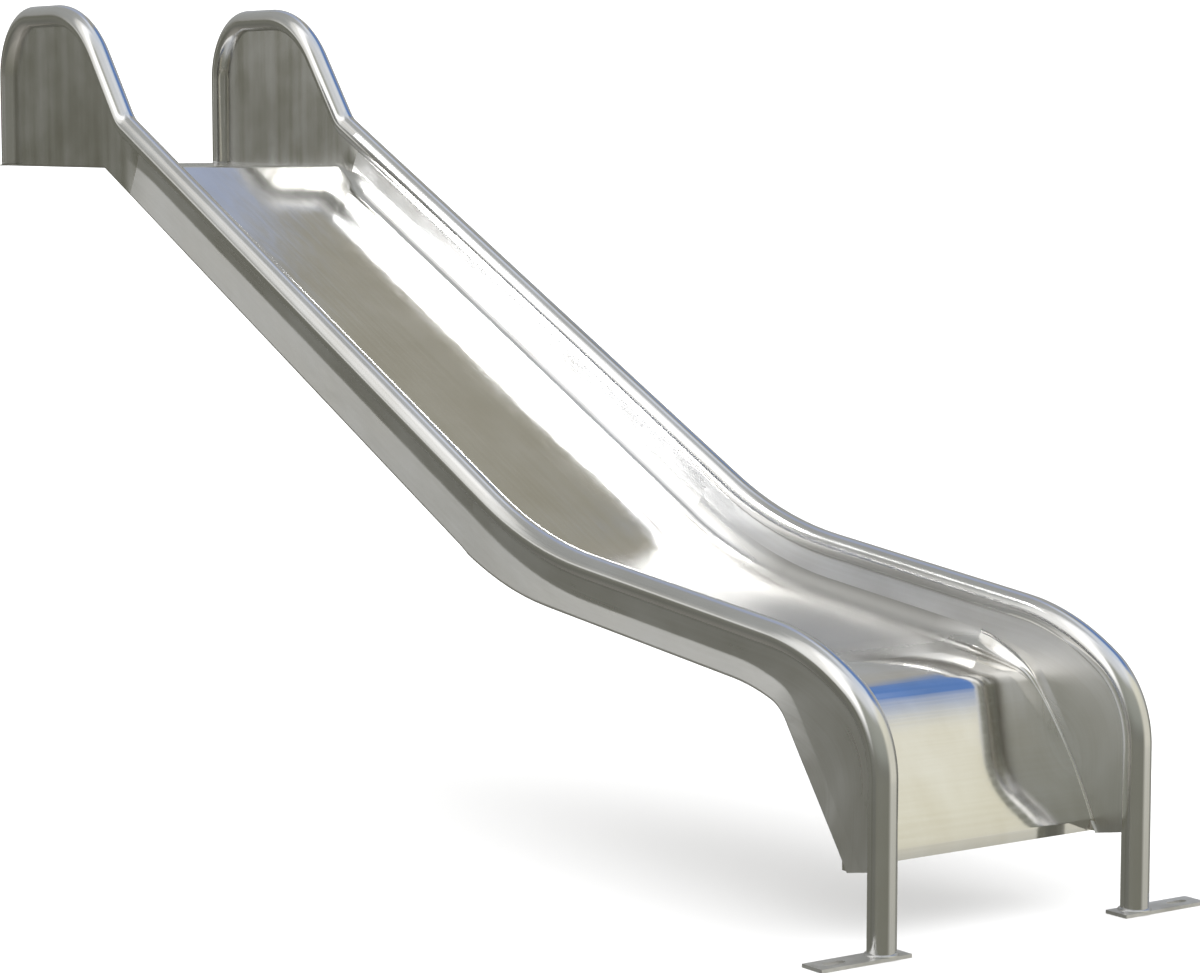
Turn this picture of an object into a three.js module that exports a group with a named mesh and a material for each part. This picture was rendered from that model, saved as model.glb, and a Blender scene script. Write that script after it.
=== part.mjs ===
// Stainless steel wave slide for a play platform 1.2 m high.
// Millimetres, +Z up. The slide runs down towards -Y and X is its width.
// Heights are first counted from the underside of the feet and depths from the leg centres.
// The last lines move the whole slide, so that the origin lies under the middle of the deck lip.
import * as THREE from 'three';

// Tube that forms the rim, the hoops and the legs.
const TUBE_R = 24.15;
const TUBE_WALL = 2.6;
const OUTER_SIDES = 16;
const INNER_SIDES = 10;
// Trough.
const CLEAR_WIDTH = 500;
const SHEET = 2.5;
const BED_DROP = 96;
const SKIRT_DROP = 131.5;
const GAP = 0.3;
// Side line of the rim: lengths, bend radii and slopes, from the foot to the hoop.
const FOOT_THICK = 6;
const LEG_TOP = 240;
const NOSE_START = 284;
const NOSE_R = 154;
const SHOULDER_R = 485;
const SHOULDER_SLOPE = 31.7;
const RUNOUT_LENGTH = 535;
const RUNOUT_SLOPE = 5.6;
const VALLEY_R = 955;
const SLOPE_LENGTH = 1587;
const SLOPE = 25.4;
const SPLICE = 60;
const HOOP_FOOT_R = 90;
const HOOP_SLOPE = 50.7;
const HOOP_FRONT = 168;
const HOOP_TOP_R = 260;
const HOOP_FLAT = 118;
const HOOP_BACK_R = 135;
// Nose: where the end plate leaves the line of the bed, and how it bends down.
const BED_END = 104.7;
const EASE_R = 500;
const EASE_SLOPE = 18;
const BEND_R = 80;
const PLATE_SLOPE = 54.7;
const PLATE_LENGTH = 250;
const LIP_BEND_R = 6;
const LIP_LENGTH = 18;
const GUSSET_REAR = { y: 91, z: 121 };
const GUSSET_FRONT_Z = 134;
// Skirt below the bed: how it runs into the lower edge of the run-out.
const SKIRT_EASE_R = 923;
const SKIRT_TAIL = { y: 952, z: 452.3 };
// Deck.
const DECK_Z = 1222;
const DECK_BEND_R = 40;
const DECK_LIP = 36;
const LIP_HALF_WIDTH = 298;
const LIP_HOLE_R = 4.5;
const LIP_HOLE_X = [-240, -80, 80, 240];
// Feet: flat bars welded under the legs, with one slot each.
const FOOT_INBOARD = 42;
const FOOT_OUTBOARD = 141;
const FOOT_DEPTH = 50;
const SLOT_CENTRE = 97;
const SLOT_HALF = 14;
const SLOT_R = 7;
// Hidden pieces.
const SLEEVE_R = 20.2;
const SLEEVE_WALL = 2.5;
const SLEEVE_HALF = 40;
const BAR_LEG = 25;
const BAR_THICK = 3;
const BAR_STATIONS = [140, 450, 760, 1070, 1380];
const CAP_THICK = 3;

const RAIL_X = CLEAR_WIDTH / 2 + TUBE_R;
const WALL_INNER_X = RAIL_X - SHEET / 2;
const BED_HALF = WALL_INNER_X - GAP;
const WALL_TOP_DROP = TUBE_R + GAP;
const DEGREE = Math.PI / 180;
const ARC_STEP = 7.5;

const rimSteel = { color: 0xb9b9b4, roughness: 0.26, metalness: 1 };
const bedSteel = { color: 0xc4c1b6, roughness: 0.2, metalness: 1 };
const wallSteel = { color: 0x9c9d92, roughness: 0.32, metalness: 1 };
const footSteel = { color: 0x70706c, roughness: 0.5, metalness: 1 };
const hiddenSteel = { color: 0x8a8a86, roughness: 0.55, metalness: 1 };

const slide = new THREE.Group();

function addPiece(name, geometry, finish) {
  const piece = new THREE.Mesh(geometry, new THREE.MeshStandardMaterial(finish));
  piece.name = name;
  slide.add(piece);
}

// A line in the side plane: points with a heading, in degrees from +Y towards +Z.
class SideLine {
  constructor(y, z, heading) {
    this.points = [{ y, z, heading }];
  }

  get end() {
    return this.points[this.points.length - 1];
  }

  straight(length) {
    const { y, z, heading } = this.end;
    const angle = heading * DEGREE;
    this.points.push({ y: y + length * Math.cos(angle), z: z + length * Math.sin(angle), heading });
    return this;
  }

  // Turns to a new heading along an arc: left for a rising heading, right for a falling one.
  bendTo(radius, heading) {
    const start = this.end;
    const side = Math.sign(heading - start.heading);
    const from = start.heading * DEGREE;
    const centreY = start.y - side * radius * Math.sin(from);
    const centreZ = start.z + side * radius * Math.cos(from);
    const steps = Math.max(2, Math.ceil(Math.abs(heading - start.heading) / ARC_STEP));
    for (let i = 1; i <= steps; i += 1) {
      const turned = start.heading + ((heading - start.heading) * i) / steps;
      const angle = turned * DEGREE;
      this.points.push({
        y: centreY + side * radius * Math.sin(angle),
        z: centreZ - side * radius * Math.cos(angle),
        heading: turned,
      });
    }
    return this;
  }
}

function lineAfter(line) {
  return new SideLine(line.end.y, line.end.z, line.end.heading);
}

function joined(...lines) {
  return lines.flatMap((line, i) => (i === 0 ? line.points : line.points.slice(1)));
}

// The same line moved to its right-hand side, which is downwards on a line that climbs the slide.
function shifted(points, distance) {
  return points.map(({ y, z, heading }) => ({
    y: y + distance * Math.sin(heading * DEGREE),
    z: z - distance * Math.cos(heading * DEGREE),
    heading,
  }));
}

function advanced(point, length) {
  const angle = point.heading * DEGREE;
  return { ...point, y: point.y + length * Math.cos(angle), z: point.z + length * Math.sin(angle) };
}

// Both ends drawn back by half a gap, for pieces that meet end to end.
function trimmed(points) {
  const result = [...points];
  result[0] = advanced(points[0], GAP / 2);
  result[result.length - 1] = advanced(points[points.length - 1], -GAP / 2);
  return result;
}

// A three.js curve through given points that keeps each point's own heading.
class StationCurve extends THREE.Curve {
  constructor(points, x) {
    super();
    this.stations = points;
    this.x = x;
  }

  getUtoTmapping(u) {
    return u;
  }

  getPoint(t, target = new THREE.Vector3()) {
    const station = this.stations[Math.round(t * (this.stations.length - 1))];
    return target.set(this.x, station.y, station.z);
  }

  getTangent(t, target = new THREE.Vector3()) {
    const station = this.stations[Math.round(t * (this.stations.length - 1))];
    return target.set(0, Math.cos(station.heading * DEGREE), Math.sin(station.heading * DEGREE));
  }
}

function polygon(radius, sides) {
  return Array.from({ length: sides }, (_, i) => {
    const angle = ((i + 0.5) / sides) * 2 * Math.PI;
    return new THREE.Vector2(radius * Math.cos(angle), radius * Math.sin(angle));
  });
}

function hollowTube(points, x, radius, wall) {
  const section = new THREE.Shape(polygon(radius, OUTER_SIDES));
  section.holes.push(new THREE.Path(polygon(radius - wall, INNER_SIDES)));
  return new THREE.ExtrudeGeometry(section, {
    steps: points.length - 1,
    extrudePath: new StationCurve(points, x),
    bevelEnabled: false,
  });
}

// Side outline in (y, z), made as thick as the range of x.
function acrossX(outline, fromX, toX) {
  const shape = new THREE.Shape(outline.map(({ y, z }) => new THREE.Vector2(y, z)));
  const geometry = new THREE.ExtrudeGeometry(shape, { depth: toX - fromX, bevelEnabled: false });
  const turn = new THREE.Matrix4().makeBasis(
    new THREE.Vector3(0, 1, 0),
    new THREE.Vector3(0, 0, 1),
    new THREE.Vector3(1, 0, 0),
  );
  return geometry.applyMatrix4(turn).translate(fromX, 0, 0);
}

// Sheet that follows a line with its upper face.
function bentSheet(points, thickness) {
  const under = shifted(points, thickness).reverse();
  return acrossX([...points, ...under], -BED_HALF, BED_HALF);
}

// Plan outline in (x, y), made as thick as the range of z.
function uprightZ(shape, fromZ, toZ) {
  const geometry = new THREE.ExtrudeGeometry(shape, {
    depth: toZ - fromZ,
    bevelEnabled: false,
    curveSegments: 8,
  });
  return geometry.translate(0, 0, fromZ);
}

// Rim line, cut where the real tubes and panels are spliced.
const legLine = new SideLine(0, FOOT_THICK + GAP, 90).straight(LEG_TOP - FOOT_THICK - GAP);
const noseLine = lineAfter(legLine)
  .straight(NOSE_START - LEG_TOP)
  .bendTo(NOSE_R, SHOULDER_SLOPE)
  .bendTo(SHOULDER_R, RUNOUT_SLOPE)
  .straight(BED_END);
const runoutLine = lineAfter(noseLine)
  .straight(RUNOUT_LENGTH - BED_END)
  .bendTo(VALLEY_R, SLOPE)
  .straight(SPLICE);
const slopeLine = lineAfter(runoutLine).straight(SLOPE_LENGTH - 2 * SPLICE);
const hoopLine = lineAfter(slopeLine)
  .straight(SPLICE)
  .bendTo(HOOP_FOOT_R, HOOP_SLOPE)
  .straight(HOOP_FRONT)
  .bendTo(HOOP_TOP_R, 0)
  .straight(HOOP_FLAT)
  .bendTo(HOOP_BACK_R, -90);
hoopLine.straight(hoopLine.end.z - DECK_Z - CAP_THICK - 2 * GAP);
const hoopBackY = hoopLine.end.y;

// Bed line: the upper face of the sheets.
const runoutBed = shifted(runoutLine.points, BED_DROP);
const slopeBedStart = shifted([slopeLine.points[0]], BED_DROP)[0];
const deckBendTangent = DECK_BEND_R * Math.tan((SLOPE / 2) * DEGREE);
const bedRise = (DECK_Z - slopeBedStart.z) / Math.sin(SLOPE * DEGREE);
const slopeBedLine = new SideLine(slopeBedStart.y, slopeBedStart.z, SLOPE)
  .straight(bedRise - deckBendTangent)
  .bendTo(DECK_BEND_R, 0);
const deckFront = slopeBedLine.end.y + GAP;
const deckRear = hoopBackY + TUBE_R + DECK_LIP;

// End plate: it leaves the bed, bends down over the nose and ends in a lip that hangs plumb.
const bedEnd = shifted([noseLine.end], BED_DROP)[0];
const plateLine = new SideLine(bedEnd.y, bedEnd.z, 180 + RUNOUT_SLOPE)
  .bendTo(EASE_R, 180 + EASE_SLOPE)
  .bendTo(BEND_R, 180 + PLATE_SLOPE)
  .straight(PLATE_LENGTH)
  .bendTo(LIP_BEND_R, 270)
  .straight(LIP_LENGTH);
plateLine.points[0] = advanced(plateLine.points[0], GAP / 2);

addPiece('runout_bed', bentSheet(trimmed(runoutBed), SHEET), bedSteel);
addPiece('slope_bed', bentSheet(trimmed(slopeBedLine.points), SHEET), bedSteel);
addPiece('end_plate', bentSheet(plateLine.points, -SHEET), bedSteel);
addPiece('deck_plate', deckPlate(), bedSteel);

function deckPlate() {
  const lipFront = hoopBackY + TUBE_R + GAP;
  const shape = new THREE.Shape([
    new THREE.Vector2(-BED_HALF, deckFront),
    new THREE.Vector2(BED_HALF, deckFront),
    new THREE.Vector2(BED_HALF, lipFront),
    new THREE.Vector2(LIP_HALF_WIDTH, lipFront),
    new THREE.Vector2(LIP_HALF_WIDTH, deckRear),
    new THREE.Vector2(-LIP_HALF_WIDTH, deckRear),
    new THREE.Vector2(-LIP_HALF_WIDTH, lipFront),
    new THREE.Vector2(-BED_HALF, lipFront),
  ]);
  for (const x of LIP_HOLE_X) {
    const hole = new THREE.Path();
    hole.absarc(x, deckRear - DECK_LIP / 2, LIP_HOLE_R, 0, 2 * Math.PI, true);
    shape.holes.push(hole);
  }
  return uprightZ(shape, DECK_Z - SHEET, DECK_Z);
}

// Side panels. Each hangs from its length of rim tube and ends below in its own edge.
const wallTop = (line) => trimmed(shifted(line.points, WALL_TOP_DROP));
const lowerEdgeStart = shifted([noseLine.end], BED_DROP + SHEET)[0];

function nosePanel() {
  const top = wallTop(noseLine).slice(1);
  const front = { y: WALL_TOP_DROP, z: GUSSET_FRONT_Z };
  const seam = advanced(lowerEdgeStart, -GAP / 2);
  const overNose = plateLine.points.slice(1).filter(({ z }) => z > NOSE_START);
  return [...top, seam, ...shifted(overNose, -SHEET), GUSSET_REAR, front];
}

// The skirt's lower edge rises out of the line of the run-out in one arc.
function runoutPanel() {
  const top = wallTop(runoutLine);
  const start = advanced(lowerEdgeStart, GAP / 2);
  const end = advanced(shifted([runoutLine.end], SKIRT_DROP)[0], -GAP / 2);
  const ease = new SideLine(SKIRT_TAIL.y, SKIRT_TAIL.z, RUNOUT_SLOPE).bendTo(SKIRT_EASE_R, SLOPE);
  return [...top, end, ...ease.points.reverse(), start];
}

function slopePanel() {
  const top = wallTop(slopeLine);
  const bottom = trimmed(shifted(slopeLine.points, SKIRT_DROP));
  return [...top, ...bottom.reverse()];
}

// The hoop's panel stands on the level of the deck and tapers into the skirt below it.
function hoopPanel() {
  const top = wallTop(hoopLine);
  const underDeck = DECK_Z - SHEET;
  const skirtEnd = advanced(shifted([hoopLine.points[0]], SKIRT_DROP)[0], GAP / 2);
  const taper = advanced(skirtEnd, (underDeck - skirtEnd.z) / Math.sin(SLOPE * DEGREE));
  const rear = { y: hoopBackY - WALL_TOP_DROP, z: underDeck };
  return [...top, rear, taper, skirtEnd];
}

function sleeve(splice, x) {
  const ends = [advanced(splice, -SLEEVE_HALF), advanced(splice, SLEEVE_HALF)];
  return hollowTube(ends, x, SLEEVE_R, SLEEVE_WALL);
}

function footPlate(side) {
  const inner = side * (RAIL_X - FOOT_INBOARD);
  const outer = side * (RAIL_X + FOOT_OUTBOARD);
  const [low, high] = side > 0 ? [inner, outer] : [outer, inner];
  const half = FOOT_DEPTH / 2;
  const shape = new THREE.Shape([
    new THREE.Vector2(low, -half),
    new THREE.Vector2(high, -half),
    new THREE.Vector2(high, half),
    new THREE.Vector2(low, half),
  ]);
  const slot = new THREE.Path();
  const slotX = side * (RAIL_X + SLOT_CENTRE);
  slot.absarc(slotX + SLOT_HALF, 0, SLOT_R, -Math.PI / 2, Math.PI / 2, false);
  slot.absarc(slotX - SLOT_HALF, 0, SLOT_R, Math.PI / 2, (3 * Math.PI) / 2, false);
  shape.holes.push(slot);
  return uprightZ(shape, 0, FOOT_THICK);
}

function hoopCap(x) {
  const shape = new THREE.Shape(polygon(TUBE_R, OUTER_SIDES));
  const cap = uprightZ(shape, DECK_Z + GAP, DECK_Z + GAP + CAP_THICK);
  return cap.translate(x, hoopBackY, 0);
}

// Angle bar across the skirt: one leg lies against the bed and the other hangs from its lower end.
function crossBar(station) {
  const origin = slopeLine.points[0];
  const at = (along, drop) => shifted([advanced(origin, station + along)], drop)[0];
  const face = BED_DROP + SHEET + GAP;
  return acrossX([
    at(0, face),
    at(0, face + BAR_LEG),
    at(BAR_THICK, face + BAR_LEG),
    at(BAR_THICK, face + BAR_THICK),
    at(BAR_LEG, face + BAR_THICK),
    at(BAR_LEG, face),
  ], -BED_HALF, BED_HALF);
}

const sides = [
  { name: 'left', side: -1 },
  { name: 'right', side: 1 },
];
const panels = {
  nose_panel: nosePanel,
  runout_panel: runoutPanel,
  slope_panel: slopePanel,
  hoop_panel: hoopPanel,
};
const tubes = {
  leg: legLine.points,
  runout_rail: joined(noseLine, runoutLine),
  slope_rail: slopeLine.points,
  hoop: hoopLine.points,
};
const splices = {
  leg_sleeve: legLine.end,
  runout_sleeve: runoutLine.end,
  slope_sleeve: slopeLine.end,
};

for (const { name, side } of sides) {
  const x = side * RAIL_X;
  for (const [part, points] of Object.entries(tubes)) {
    addPiece(`${name}_${part}`, hollowTube(trimmed(points), x, TUBE_R, TUBE_WALL), rimSteel);
  }
  for (const [part, outline] of Object.entries(panels)) {
    addPiece(`${name}_${part}`, acrossX(outline(), x - SHEET / 2, x + SHEET / 2), wallSteel);
  }
  for (const [part, splice] of Object.entries(splices)) {
    addPiece(`${name}_${part}`, sleeve(splice, x), hiddenSteel);
  }
  addPiece(`${name}_hoop_cap`, hoopCap(x), rimSteel);
  addPiece(`${name}_foot_plate`, footPlate(side), footSteel);
}

BAR_STATIONS.forEach((station, i) => {
  addPiece(`cross_bar_${i + 1}`, crossBar(station), hiddenSteel);
});

// Origin: under the middle of the deck lip.
slide.position.set(0, DECK_LIP / 2 - deckRear, SHEET - DECK_Z);

export default slide;
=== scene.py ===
import math
import bmesh
import bpy
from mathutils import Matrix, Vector


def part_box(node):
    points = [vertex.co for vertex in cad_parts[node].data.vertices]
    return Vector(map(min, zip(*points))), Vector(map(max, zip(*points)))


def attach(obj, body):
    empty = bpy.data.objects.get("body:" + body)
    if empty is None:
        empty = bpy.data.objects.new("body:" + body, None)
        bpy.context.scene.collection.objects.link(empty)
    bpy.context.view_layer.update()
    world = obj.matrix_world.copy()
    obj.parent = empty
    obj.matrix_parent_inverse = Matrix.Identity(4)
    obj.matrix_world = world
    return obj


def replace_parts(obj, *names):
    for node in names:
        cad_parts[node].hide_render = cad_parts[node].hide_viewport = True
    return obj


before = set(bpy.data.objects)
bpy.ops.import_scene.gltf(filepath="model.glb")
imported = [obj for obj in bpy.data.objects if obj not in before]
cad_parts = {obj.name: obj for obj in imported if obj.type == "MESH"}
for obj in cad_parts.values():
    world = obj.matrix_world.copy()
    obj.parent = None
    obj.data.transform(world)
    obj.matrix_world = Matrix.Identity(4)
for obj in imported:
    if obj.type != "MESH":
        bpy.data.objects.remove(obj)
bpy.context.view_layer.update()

# ---------------------------------------------------------------- driving dimensions
# Lengths are in metres and angles in degrees. A drop is measured square to the rim's centre line.
TUBE_R = 0.02415
SHEET = 0.0025
BED_DROP = 0.096
SKIRT_DROP = 0.1315
GAP = 0.0003

# The rim, from the legs up: nose, run-out, valley, slope and hoop.
NOSE_R = 0.154
NOSE_RISE = 0.284
SHOULDER_R = 0.485
SHOULDER_SLOPE = 31.7
RUNOUT_LENGTH = 0.535
RUNOUT_SLOPE = 5.6
VALLEY_R = 0.955
SLOPE_LENGTH = 1.587
SLOPE = 25.4
SPLICE = 0.060
HOOP_FOOT_R = 0.090
HOOP_SLOPE = 50.7
HOOP_FRONT = 0.168
HOOP_TOP_R = 0.260
HOOP_FLAT = 0.118
HOOP_BACK_R = 0.135

# The bed ends a little way up the straight run-out. From there the end plate goes down to a lip.
BED_END = 0.1047
EASE_R = 0.500
EASE_SLOPE = 18
BEND_R = 0.080
PLATE_SLOPE = 54.7
PLATE_LENGTH = 0.250
LIP_BEND_R = 0.006
LIP_LENGTH = 0.018
BULGE = 10.0

# The bend between the slope and the deck, and the arc in the skirt's lower edge.
DECK_BEND_R = 0.040
SKIRT_EASE_R = 0.923

# How finely the lines are divided, in metres and degrees, and the tubes.
LINE_STEP = 0.04
ARC_STEP = 2.5
BULGE_STEP = 0.5
SKIRT_STEP = 1.5
LIP_STEP = 8
TUBE_SIDES = 48

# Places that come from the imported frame.
LEG_LOW, LEG_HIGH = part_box("left_leg")
FOOT_LOW, FOOT_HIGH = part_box("left_foot_plate")
DECK_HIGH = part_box("deck_plate")[1]
HOOP_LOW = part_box("left_hoop")[0]
LEG_Y = (LEG_LOW.y + LEG_HIGH.y) / 2
RAIL_X = -(LEG_LOW.x + LEG_HIGH.x) / 2
GROUND = FOOT_LOW.z
DECK_Z = DECK_HIGH.z

# The side sheets hang under the middle of the tubes, and their upper edge runs into the tube.
WALL_INNER_X = RAIL_X - SHEET / 2
RIM_BITE = 0.002
WALL_TOP_DROP = TUBE_R - RIM_BITE
SIDES = (("left", -1), ("right", 1))


# ---------------------------------------------------------------- lines in the side plane
class SideLine:
    """Points (y, z, heading) in the side plane. The heading is in degrees from +Y towards +Z."""

    def __init__(self, y, z, heading):
        self.points = [(y, z, heading)]

    @property
    def end(self):
        return self.points[-1]

    def straight(self, length):
        y, z, heading = self.end
        count = max(1, math.ceil(length / LINE_STEP))
        angle = math.radians(heading)
        for i in range(1, count + 1):
            along = length * i / count
            self.points.append((y + along * math.cos(angle), z + along * math.sin(angle), heading))
        return self

    def bend_to(self, radius, heading, step=ARC_STEP):
        y, z, start = self.end
        side = 1 if heading > start else -1
        centre_y = y - side * radius * math.sin(math.radians(start))
        centre_z = z + side * radius * math.cos(math.radians(start))
        arc = abs(heading - start)
        length = math.radians(arc) * radius
        count = max(2, math.ceil(arc / step), math.ceil(length / LINE_STEP))
        for i in range(1, count + 1):
            turned = start + (heading - start) * i / count
            angle = math.radians(turned)
            self.points.append((
                centre_y + side * radius * math.sin(angle),
                centre_z - side * radius * math.cos(angle),
                turned,
            ))
        return self


def line_after(line):
    return SideLine(*line.end)


def shifted(points, distance):
    """The line moved to its right-hand side: downwards on a line that climbs the slide."""
    return [
        (y + distance * math.sin(math.radians(h)), z - distance * math.cos(math.radians(h)), h)
        for y, z, h in points
    ]


def advanced(point, length):
    y, z, h = point
    return (y + length * math.cos(math.radians(h)), z + length * math.sin(math.radians(h)), h)


leg_line = SideLine(LEG_Y, LEG_LOW.z, 90).straight(LEG_HIGH.z - LEG_LOW.z + GAP / 2)
nose_line = line_after(leg_line)
nose_line.straight(GROUND + NOSE_RISE - nose_line.end[1])
nose_line.bend_to(NOSE_R, SHOULDER_SLOPE).bend_to(SHOULDER_R, RUNOUT_SLOPE).straight(BED_END)
runout_line = line_after(nose_line).straight(RUNOUT_LENGTH - BED_END)
runout_line.bend_to(VALLEY_R, SLOPE).straight(SPLICE)
slope_line = line_after(runout_line).straight(SLOPE_LENGTH - 2 * SPLICE)
hoop_line = line_after(slope_line).straight(SPLICE).bend_to(HOOP_FOOT_R, HOOP_SLOPE)
hoop_line.straight(HOOP_FRONT).bend_to(HOOP_TOP_R, 0).straight(HOOP_FLAT).bend_to(HOOP_BACK_R, -90)
hoop_line.straight(hoop_line.end[1] - HOOP_LOW.z)

slope_bed_start = shifted([slope_line.points[0]], BED_DROP)[0]
deck_tangent = DECK_BEND_R * math.tan(math.radians(SLOPE / 2))
bed_rise = (DECK_Z - slope_bed_start[1]) / math.sin(math.radians(SLOPE))
slope_bed_line = SideLine(*slope_bed_start).straight(bed_rise - deck_tangent).bend_to(DECK_BEND_R, 0)

bed_end = shifted([nose_line.end], BED_DROP)[0]
gusset_line = SideLine(bed_end[0], bed_end[1], 180 + RUNOUT_SLOPE)
gusset_line.bend_to(EASE_R, 180 + EASE_SLOPE).bend_to(BEND_R, 180 + PLATE_SLOPE)

# The end plate bulges a little: its slope goes on growing from the bend to the lip.
bulge_length = PLATE_LENGTH + BEND_R * math.radians(BULGE)
bulge_radius = bulge_length / math.radians(2 * BULGE)
plate_line = SideLine(bed_end[0], bed_end[1], 180 + RUNOUT_SLOPE)
plate_line.bend_to(EASE_R, 180 + EASE_SLOPE).bend_to(BEND_R, 180 + PLATE_SLOPE - BULGE)
plate_line.bend_to(bulge_radius, 180 + PLATE_SLOPE + BULGE, BULGE_STEP)
plate_line.bend_to(LIP_BEND_R, 270, LIP_STEP).straight(LIP_LENGTH)


# ---------------------------------------------------------------- meshes
def new_piece(name, rings, material, smooth_angle=35):
    """A closed piece between equal rings of points, one ring after another."""
    verts = [p for ring in rings for p in ring]
    n = len(rings[0])
    faces = []
    for i in range(len(rings) - 1):
        for j in range(n):
            a = i * n + j
            b = i * n + (j + 1) % n
            faces.append((a, b, b + n, a + n))
    faces.append(tuple(range(n))[::-1])
    faces.append(tuple(range((len(rings) - 1) * n, len(rings) * n)))
    mesh = bpy.data.meshes.new(name)
    mesh.from_pydata([tuple(v) for v in verts], [], faces)
    mesh.validate()
    bm = bmesh.new()
    bm.from_mesh(mesh)
    bmesh.ops.recalc_face_normals(bm, faces=bm.faces)
    bm.to_mesh(mesh)
    bm.free()
    mesh.shade_smooth()
    mesh.set_sharp_from_angle(angle=math.radians(smooth_angle))
    piece = bpy.data.objects.new(name, mesh)
    bpy.context.scene.collection.objects.link(piece)
    mesh.materials.append(material)
    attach(piece, "root")
    return piece


def add_grain(piece, vectors):
    """Stores, for each point, where it lies along and across its sheet or tube, in metres."""
    layer = piece.data.attributes.new("grain", "FLOAT_VECTOR", "POINT")
    layer.data.foreach_set("vector", [c for v in vectors for c in v])


def run_lengths(points):
    total = 0.0
    lengths = [0.0]
    for (y0, z0, _), (y1, z1, _) in zip(points, points[1:]):
        total += math.hypot(y1 - y0, z1 - z0)
        lengths.append(total)
    return lengths


def smoothstep(value):
    t = min(1.0, max(0.0, value))
    return t * t * (3 - 2 * t)


def circle(radius):
    turns = [2 * math.pi * j / TUBE_SIDES for j in range(TUBE_SIDES)]
    return [(radius * math.cos(turn), radius * math.sin(turn)) for turn in turns]


def tube(name, points, x, offset):
    """A length of the rim. Its grain starts at the offset, so that it runs on through a splice."""
    outline = circle(TUBE_R)
    rings = []
    grain = []
    for (y, z, h), along in zip(points, run_lengths(points)):
        angle = math.radians(h)
        rings.append([
            Vector((x + across, y - out * math.sin(angle), z + out * math.cos(angle)))
            for across, out in outline
        ])
        grain.extend((offset + along, across, out) for across, out in outline)
    piece = new_piece(name, rings, rim_steel)
    add_grain(piece, grain)
    return piece


# ---------------------------------------------------------------- section of the trough
# Each side wall leans in from the rim to a crease and leans out again below it, and the bed's
# rounded corner runs up into the wall at the crease.
CORNER_RISE = 0.034
CORNER_RISE_MIN = 0.005
CREASE_DROP = BED_DROP - CORNER_RISE
NOSE_INSET = 0.002
RUNOUT_INSET = 0.004
SLOPE_INSET = 0.009
EDGE_FLARE = 0.003
WALL_BITE = 0.0002
WALL_LAP = 0.008
LAP_LOW = 0.026
CORNER_STEPS = 10
FLAT_STEPS = 12
THIN_EDGE = 0.0003

# Where the walls change: the distance from the legs at which each change starts, and its length.
NOSE_TO_RUNOUT = (0.12, 0.2)
RUNOUT_TO_SLOPE = (0.85, 0.35)
SLOPE_TO_HOOP = (2.46, 0.13)
FLARE_GROWS = (0.10, 0.15)
FLARE_ENDS = (0.95, 0.3)


def changed(y, change):
    """How much of a change in the walls is done at this place, from 0 to 1."""
    start, length = change
    return smoothstep((y - LEG_Y - start) / length)


def crease_inset(y):
    """How far the crease lies inside the rim's plane."""
    inset = NOSE_INSET + (RUNOUT_INSET - NOSE_INSET) * changed(y, NOSE_TO_RUNOUT)
    inset += (SLOPE_INSET - RUNOUT_INSET) * changed(y, RUNOUT_TO_SLOPE)
    return inset * (1 - changed(y, SLOPE_TO_HOOP))


def edge_flare(y):
    """How far the wall's lower edge stands outside the rim's plane."""
    return EDGE_FLARE * changed(y, FLARE_GROWS) * (1 - changed(y, FLARE_ENDS))


def bed_edge_x(y, height, band):
    """Where the bed meets the wall's inner face, this high above the wall's lower edge."""
    share = min(1.0, height / band)
    return WALL_INNER_X - crease_inset(y) * share + edge_flare(y) * (1 - share)


def bed_half_section(rise, edge):
    """Points (x, lift) from the middle to the edge, with a corner that rises by this much.

    A strip beyond the corner laps the wall and leans with it. Where the corner is low, the strip
    stands upright."""
    flare = math.atan(max(0.0, WALL_INNER_X - edge) / (CREASE_DROP - WALL_TOP_DROP))
    radius = rise / (1 - math.sin(flare))
    turn = math.pi / 2 - flare
    flat_half = edge - radius * math.sin(turn)
    section = [(flat_half * i / FLAT_STEPS, 0.0) for i in range(FLAT_STEPS)]
    for i in range(CORNER_STEPS + 1):
        angle = turn * i / CORNER_STEPS
        section.append((flat_half + radius * math.sin(angle), radius * (1 - math.cos(angle))))
    lap_out = WALL_LAP * math.sin(flare) * smoothstep((rise - LAP_LOW) / (CORNER_RISE - LAP_LOW))
    section.append((edge + lap_out + WALL_BITE, rise + WALL_LAP * math.cos(flare)))
    return section


def section_normal(section, i):
    x0, l0 = section[max(0, i - 1)]
    x1, l1 = section[min(len(section) - 1, i + 1)]
    length = math.hypot(x1 - x0, l1 - l0)
    return ((l1 - l0) / length, -(x1 - x0) / length)


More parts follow.
